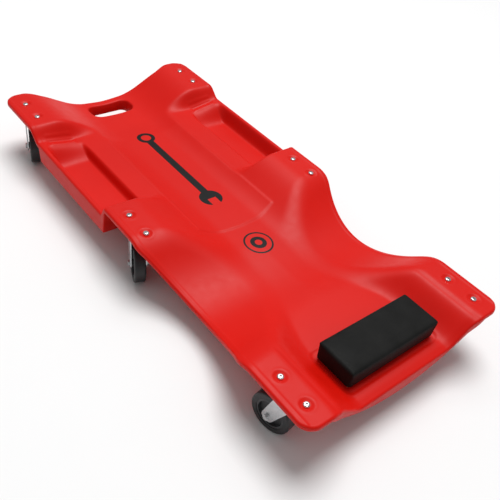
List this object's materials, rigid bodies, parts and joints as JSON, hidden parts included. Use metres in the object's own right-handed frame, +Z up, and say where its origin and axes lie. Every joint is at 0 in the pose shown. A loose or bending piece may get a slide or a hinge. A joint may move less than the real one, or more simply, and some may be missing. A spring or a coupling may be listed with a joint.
{
  "type": "mechanics creeper",
  "caption": "Low mechanics creeper: dished red plastic deck with arm scoops, tool trays, hand slot and black headrest cushion, on swivel casters.",
  "frame": {"origin": "on the floor, under the centre of the deck", "axes": "+X towards the head end, +Y towards the right side of a person lying on it face up, +Z up"},
  "size_m": [1.016, 0.4708, 0.1138],
  "materials": {
    "deck_plastic": "satin red moulded polyethylene",
    "black_vinyl": "black vinyl over foam",
    "board": "plywood",
    "bright_steel": "polished",
    "zinc_steel": "zinc plated",
    "hub_plastic": "dark grey moulded plastic",
    "tyre_rubber": "satin black rubber"
  },
  "bodies": {
    "root": {"deck": "deck_plastic", "deck_bolts": "bright_steel", "lock_nuts": "zinc_steel", "headrest_cushion": "black_vinyl", "headrest_board": "board", "headrest_screws": "zinc_steel", "foot_left_plate": "zinc_steel", "foot_left_kingpin": "zinc_steel", "foot_left_balls": "bright_steel", "foot_right_plate": "zinc_steel", "foot_right_kingpin": "zinc_steel", "foot_right_balls": "bright_steel", "mid_left_plate": "zinc_steel", "mid_left_kingpin": "zinc_steel", "mid_left_balls": "bright_steel", "mid_right_plate": "zinc_steel", "mid_right_kingpin": "zinc_steel", "mid_right_balls": "bright_steel", "head_left_plate": "zinc_steel", "head_left_kingpin": "zinc_steel", "head_left_balls": "bright_steel", "head_right_plate": "zinc_steel", "head_right_kingpin": "zinc_steel", "head_right_balls": "bright_steel"},
    "foot_left_swivel": {"foot_left_fork": "zinc_steel", "foot_left_axle_bolt": "zinc_steel", "foot_left_axle_nut": "zinc_steel"},
    "foot_left_wheel": {"foot_left_hub": "hub_plastic", "foot_left_tyre": "tyre_rubber"},
    "foot_right_swivel": {"foot_right_fork": "zinc_steel", "foot_right_axle_bolt": "zinc_steel", "foot_right_axle_nut": "zinc_steel"},
    "foot_right_wheel": {"foot_right_hub": "hub_plastic", "foot_right_tyre": "tyre_rubber"},
    "mid_left_swivel": {"mid_left_fork": "zinc_steel", "mid_left_axle_bolt": "zinc_steel", "mid_left_axle_nut": "zinc_steel"},
    "mid_left_wheel": {"mid_left_hub": "hub_plastic", "mid_left_tyre": "tyre_rubber"},
    "mid_right_swivel": {"mid_right_fork": "zinc_steel", "mid_right_axle_bolt": "zinc_steel", "mid_right_axle_nut": "zinc_steel"},
    "mid_right_wheel": {"mid_right_hub": "hub_plastic", "mid_right_tyre": "tyre_rubber"},
    "head_left_swivel": {"head_left_fork": "zinc_steel", "head_left_axle_bolt": "zinc_steel", "head_left_axle_nut": "zinc_steel"},
    "head_left_wheel": {"head_left_hub": "hub_plastic", "head_left_tyre": "tyre_rubber"},
    "head_right_swivel": {"head_right_fork": "zinc_steel", "head_right_axle_bolt": "zinc_steel", "head_right_axle_nut": "zinc_steel"},
    "head_right_wheel": {"head_right_hub": "hub_plastic", "head_right_tyre": "tyre_rubber"}
  },
  "joints": [
    {"name": "foot_left_swivel_turn", "type": "hinge", "parent": "root", "child": "foot_left_swivel", "pos_m": [-0.432, -0.203, 0.0912], "axis": [0, 0, 1], "continuous": true},
    {"name": "foot_left_wheel_spin", "type": "hinge", "parent": "foot_left_swivel", "child": "foot_left_wheel", "pos_m": [-0.41146, -0.21088, 0.0375], "axis": [0.3584, 0.9336, 0], "continuous": true},
    {"name": "foot_right_swivel_turn", "type": "hinge", "parent": "root", "child": "foot_right_swivel", "pos_m": [-0.432, 0.203, 0.0912], "axis": [0, 0, 1], "continuous": true},
    {"name": "foot_right_wheel_spin", "type": "hinge", "parent": "foot_right_swivel", "child": "foot_right_wheel", "pos_m": [-0.41048, 0.20757, 0.0375], "axis": [-0.2079, 0.9781, 0], "continuous": true},
    {"name": "mid_left_swivel_turn", "type": "hinge", "parent": "root", "child": "mid_left_swivel", "pos_m": [0.0085, -0.203, 0.0912], "axis": [0, 0, 1], "continuous": true},
    {"name": "mid_left_wheel_spin", "type": "hinge", "parent": "mid_left_swivel", "child": "mid_left_wheel", "pos_m": [0.0286, -0.21195, 0.0375], "axis": [0.4067, 0.9135, 0], "continuous": true},
    {"name": "mid_right_swivel_turn", "type": "hinge", "parent": "root", "child": "mid_right_swivel", "pos_m": [0.0085, 0.203, 0.0912], "axis": [0, 0, 1], "continuous": true},
    {"name": "mid_right_wheel_spin", "type": "hinge", "parent": "mid_right_swivel", "child": "mid_right_wheel", "pos_m": [-0.01275, 0.20869, 0.0375], "axis": [-0.2588, -0.9659, 0], "continuous": true},
    {"name": "head_left_swivel_turn", "type": "hinge", "parent": "root", "child": "head_left_swivel", "pos_m": [0.4395, -0.203, 0.0912], "axis": [0, 0, 1], "continuous": true},
    {"name": "head_left_wheel_spin", "type": "hinge", "parent": "head_left_swivel", "child": "head_left_wheel", "pos_m": [0.41777, -0.20644, 0.0375], "axis": [0.1564, -0.9877, 0], "continuous": true},
    {"name": "head_right_swivel_turn", "type": "hinge", "parent": "root", "child": "head_right_swivel", "pos_m": [0.4395, 0.203, 0.0912], "axis": [0, 0, 1], "continuous": true},
    {"name": "head_right_wheel_spin", "type": "hinge", "parent": "head_right_swivel", "child": "head_right_wheel", "pos_m": [0.41925, 0.1944, 0.0375], "axis": [0.3907, -0.9205, 0], "continuous": true}
  ]
}
